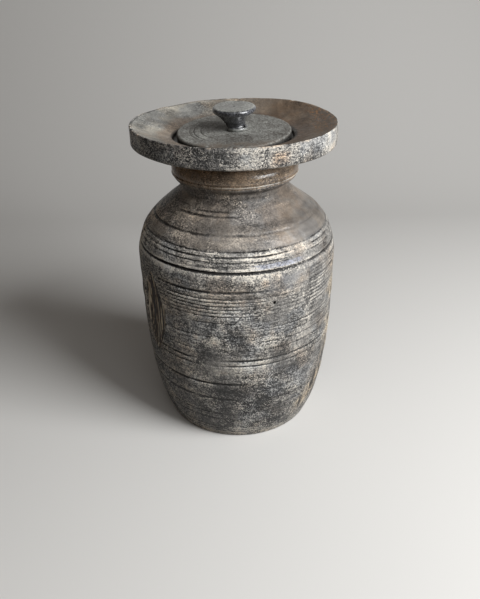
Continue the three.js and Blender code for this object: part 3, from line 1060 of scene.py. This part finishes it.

# %% [markdown]
# ## How far the dark skin is worn through
#
# One number says how pale the wood is. Noises of several sizes give its blotches, grains and flecks,
# and the zones, bare patches and relief raise or lower it. In one sum the layers stay together: a
# ridge in a dark patch is darker than the same ridge in a pale one. On the right of the front the
# scored lines have been rubbed smooth, so the noises are calmer there. Some terms paint light and
# shade: glints near the neck, a highlight on the bead's lip, a paler right side, rim band and dish
# slope where they face the lamp, a darker left lip of the rim, partly painted shade towards the
# bottom, and relief that pales the crests and darkens the hollows, partly as wear and dirt.

# %% Pot finish: noises
blotch = wood.noise(15, detail=7, roughness=0.62, warp=0.5)
patch = wood.noise(36, (1, 1, 0.9), detail=6, roughness=0.7)
grit = wood.noise(330, (1, 1, 1.3), detail=5, roughness=0.75)
fleck = wood.noise(640, (1, 1, 1.3), detail=3, roughness=0.7)
rings = wood.noise(1, (8, 8, 430), detail=3)
streaks = wood.noise(1, (90, 90, 8), detail=4)
strand = wood.noise(1, (300, 300, 45), detail=5, roughness=0.75)
cluster = spread(wood.noise(48, (1, 1, 0.8), detail=5, roughness=0.7), 0.46, 0.62)
specks = times(spread(fleck, 0.55, 0.64), cluster)
holes = spread(wood.noise(430, (1, 1, 1.2), detail=3, roughness=0.65), 0.44, 0.34)
dashes = spread(wood.noise(1, (26, 26, 470), detail=5, roughness=0.7), 0.55, 0.66)
# Pale specks near the neck, added to the pale number: painted highlights.
painted_glints = times(spread(fleck, 0.56, 0.63), spread(cluster, 0.2, 0.7), spread(level, 0.262, 0.28), off_dish)
rubbed = times(within(level, 0.2015, 0.2110, 0.008), within(axis_x, 0.046, 0.058, 0.028), in_front,
               spread(wood.noise(55, detail=5), 0.36, 0.62, 0.1, 1))
print("noises and zones:", len(wood.nodes), "nodes")

# %% Pot finish: how pale it is
PALE_START = 0.435
coarse = stir(0.0, (grit, 1.3), (fleck, 1.6), (patch, 0.7), (rings, spread(level, 0.09, 0.16, 0.15, 0.5)))
# Raised relief is painted paler and low relief darker: wear on crests and dirt in hollows, and partly a
# painted highlight and shade.
coarse = plus(coarse, (specks, 0.42), (holes, -0.2), (times(dashes, on_ridges), 0.5),
              (spread(relief, -0.5, 0.5, -1, 1), plus(0.3, (on_ridges, -0.05))))
calm = plus(1.25, (times(at_left, off_dish), 0.7), (low_down, 0.25), (on_ridges, -0.3), (rubbed, -0.5),
            (on_shoulder, -0.8), (in_dish, -0.97), (on_bead, -0.55), (lit_right, -0.45))
busy = spread(wood.noise(27, detail=4, roughness=0.6), 0.38, 0.6, 0.5, 1.4)
# On the rim's band the pale number rises from the shaded left to the lit right: painted light.
worn = stir(times(coarse, calm, busy), (blotch, plus(0.6, (on_shoulder, -0.3))), (patch, 0.35),
            (streaks, times(on_band, 0.5)), (wood.noise(24, detail=4), times(on_band, 0.8)),
            (spread(axis_x, -0.1, 0.02), times(on_band, 0.16)), (strand, times(fray, 1.5)),
            (wood.noise(1, (14, 14, 150), detail=4), times(on_shoulder, 0.4)))
# The rim's top lip on the shaded left is painted darker: painted shade.
rim_lip_painted_shade = times(spread(span, 0.1022, 0.1032), spread(level, 0.3400, 0.3412), spread(axis_x, 0.03, -0.03))
# A pale line round the bead's lip, fading on the shaded left: a worn edge and a painted highlight.
bead_lip_wear_and_highlight = times(within(level, 0.2918, 0.2928, 0.0006), off_rim, spread(patch, 0.36, 0.5, 0.3, 1),
                 spread(axis_x, -0.05, 0.0, 0.2, 1))
# Painted light in this sum: the dish's left slope, which faces the lamp, is painted paler.
worn = plus(wood.math("ADD", worn, PALE_START), (bare, 0.24), (fray, 0.06), (on_shoulder, -0.01),
            (on_bead, 0.15), (on_band, 0.07), (in_dish, -0.03), (times(in_dish, at_left), 0.15),
            (on_ridges, -0.06), (lit_right, 0.02), (low_down, -0.05), (at_foot, 0.05),
            (rim_lip_painted_shade, -0.14), (bead_lip_wear_and_highlight, 0.3), (painted_glints, 0.5))

# %% [markdown]
# ## Colours of the pot
#
# Charcoal, brown, grey and cream are one ramp, read at how pale the wood is. Thin warm and cool
# stains keep it from looking like one tin of paint. Where the relief is low, dirt and painted shade lie,
# darkest on the shaded left, and painted shade darkens the dish's inner slope and fills the gap round
# the lid's seat. The scar shows split fibre with painted shade in its deepest splits, and the beetle
# hole is painted nearly black: painted shade.

# %% Pot finish: colour
color = wood.ramp(worn, (0.1, 28, 27, 26), (0.3, 74, 72, 70), (0.5, 134, 131, 127),
                  (0.7, 184, 179, 171), (0.9, 236, 228, 214))
warm = spread(wood.noise(21, detail=4, roughness=0.6), 0.5, 0.66, 0, 0.6)
warm = wood.math("MAXIMUM", warm, spread(bare, 0.25, 0.9, 0, 0.9))
warm = times(warm, spread(level, 0.06, 0.12, 0.4, 1), wood.flip(bead_lip_wear_and_highlight))
cool = spread(wood.noise(25, detail=4, roughness=0.6), 0.5, 0.62, 0, 0.8)
bead_tint = lay(tone(236, 214, 192), (bead_lip_wear_and_highlight, tone(246, 242, 238)))
# The dish is browner and darker on the right, where its slope faces away from the lamp: partly its colour
# and partly painted shade.
dish_tint = lay(tone(252, 250, 243), (spread(axis_x, -0.04, 0.05), tone(226, 205, 184)))
# The dish's inner slope round the lid is painted darker and browner: painted shade.
bowl = spread(stir(span, (wood.noise(30, detail=4), 0.03)), 0.084, 0.074, 0, 0.8)
color = wood.tint(color, (warm, tone(255, 238, 222)), (cool, tone(238, 245, 255)),
                  (on_shoulder, tone(248, 240, 232)), (on_bead, bead_tint), (in_dish, dish_tint),
                  (times(in_dish, bowl), tone(224, 206, 194)))
rust = times(in_dish, spread(axis_x, 0.074, 0.088), spread(grit, 0.5, 0.6, 0, 0.7))
# Low relief is painted dark: dirt in the grooves, and painted shade, strongest on the shaded left.
groove_dirt_and_left_shade = spread(wood.noise(30, detail=3), 0.36, 0.56, 0.35, 0.95)
groove_dirt_and_left_shade = wood.math("MAXIMUM", groove_dirt_and_left_shade, times(at_left, 0.9))
# The gap round the lid's seat is painted nearly black: painted shade.
seat_gap_painted_shade = times(within(span, 0.0555, 0.0635, 0.0028), spread(level, 0.3120, 0.3150), 0.92)
dirt_and_painted_shade = wood.math("MAXIMUM", times(spread(relief, -0.15, -0.8), groove_dirt_and_left_shade), seat_gap_painted_shade)
# The rubbed place is laid with a bluish grey: a painted sheen over wood rubbed smooth.
color = lay(color, (rust, tone(168, 124, 84)), (times(rubbed, 0.45), tone(140, 142, 146)),
            (dirt_and_painted_shade, tone(24, 21, 19)))

# %% Pot finish: marks and scar
# Two things are painted on the front: an orange stain on the rim, and a bluish shine under the ridges,
# which is a painted reflection.
stain = times(within(level, 0.3270, 0.3320, 0.006), within(axis_x, 0.039, 0.044, 0.009), on_band,
              spread(patch, 0.3, 0.6, 0.1, 0.6))
color = wood.tint(color, (times(fray, 0.9), tone(255, 241, 220)), (stain, tone(255, 214, 176)))
# Where the bluish shine lies: its colour is a painted reflection, and the roughness is lower there as
# well.
sheen = times(within(level, 0.2235, 0.2268, 0.0012), within(axis_x, 0.024, 0.056, 0.014), in_front)
painted_shimmer = times(sheen, spread(grit, 0.38, 0.58, 0.1, 0.7))
color = lay(color, (painted_shimmer, tone(182, 186, 202)))
fibre = wood.noise(1, (300, 300, 14), detail=5, roughness=0.62)
split = wood.ramp(fibre, (0.42, 14, 9, 5), (0.5, 44, 31, 19), (0.545, 74, 56, 38),
                  (0.565, 232, 212, 184), (0.61, 255, 244, 220))
# The deepest splits are painted nearly black: painted shade.
split = lay(split, (spread(relief, -0.3, -1.8, 0, 0.5), tone(18, 12, 8)))
# The bored walls of the beetle hole are painted nearly black: painted shade.
color = lay(color, (scar, split), (bored, tone(8, 7, 6)))

# %% Pot finish: gloss and bump
polished = times(spread(level, 0.218, 0.226), spread(patch, 0.44, 0.6))
gloss = plus(spread(blotch, 0.3, 0.7, 0.4, 0.6), (polished, -0.12), (on_bead, -0.24), (sheen, -0.14))
rugged = plus(1.0, (on_bead, -0.8))
skin = times(calm, rugged)
wood.apply(pot, color, gloss, (times(grit, skin), 1.1 * MM), (times(fleck, skin), 0.5 * MM),
           (times(rings, skin), 0.4 * MM), (times(wood.noise(95, detail=3), rugged), 1.4 * MM))

# %% [markdown]
# ## Lid and knob finishes
#
# The lid is dry and grey, with dirt in its rings, painted shade round its edge, and brown where
# fingers lift its front. The knob is darker and polished by hands: a thin clear coat gives the shine,
# where a low roughness alone would also wet the dust on its top. Its top and foot ring are a paler
# copy of its sides' colour, partly dust and partly painted light from above, and its right side is
# painted lighter: painted light.

# %% Lid finish
grey = Finish("grey_lid_wood")
bloom = grey.noise(26, detail=5, roughness=0.6)
speck = grey.noise(520, detail=4, roughness=0.7)
smudge = grey.noise(95, detail=5, roughness=0.7)
rightward, backward, _ = grey.axes()
shade = grey.stir(grey.plus(0.47, (grey.spread(rightward, 0.01, -0.04), 0.12)),
                  (bloom, 0.9), (speck, 2.0), (smudge, 1.1))
color = grey.ramp(shade, (0.15, 66, 62, 57), (0.4, 104, 101, 96), (0.6, 128, 128, 124),
                  (0.85, 160, 159, 152))
fingered = grey.times(grey.spread(backward, -0.034, -0.05), grey.spread(smudge, 0.42, 0.56, 0, 0.75))
# Brown on the front, dirt in the tool rings, and the side wall, from the edge note, painted nearly black:
# painted shade.
color = grey.lay(color, (fingered, tone(96, 84, 72)),
                 (grey.spread(grey.note("relief"), -0.05, -0.35, 0, 0.9), tone(48, 44, 40)),
                 (grey.times(grey.note("edge"), 0.88), tone(18, 16, 14)))
grey.apply(lid, color, grey.spread(bloom, 0.3, 0.7, 0.48, 0.64), (speck, 0.6 * MM), (smudge, 0.8 * MM))

# %% Knob finish
dark = Finish("dark_knob_wood")
bloom = dark.noise(90, detail=5, roughness=0.65)
speck = dark.noise(560, detail=4, roughness=0.7)
dusty = dark.note("dusty")
# The knob's right side, which faces the lamp, is painted lighter: painted light.
painted_lit_side = dark.spread(dark.axes()[0], 0.006, 0.02)
shade = dark.stir(dark.plus(0.5, (painted_lit_side, 0.22)), (bloom, 1.1), (speck, 1.8))
side = dark.ramp(shade, (0.2, 20, 21, 24), (0.5, 50, 51, 54), (0.8, 100, 101, 106))
# The top's ramp is a paler copy of the sides' ramp: dust, and partly painted light from above.
top = dark.ramp(shade, (0.15, 78, 76, 72), (0.5, 120, 121, 117), (0.85, 164, 164, 158))
# The bored hole in the knob's foot is painted nearly black: painted shade.
color = dark.lay(side, (dusty, top), (dark.note("bored"), tone(8, 7, 7)))
dark.shader.inputs["Coat Weight"].default_value = 0.9
dark.shader.inputs["Coat Roughness"].default_value = 0.13
shine = dark.plus(dark.spread(bloom, 0.3, 0.7, 0.2, 0.34), (dusty, 0.2))
dark.apply(knob, color, shine, (speck, 0.2 * MM), (bloom, 0.3 * MM))
print("finishes:", [m.name for m in bpy.data.materials if m.users])

low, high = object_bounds()
print("visual box:", [round(v, 4) for v in low], [round(v, 4) for v in high])
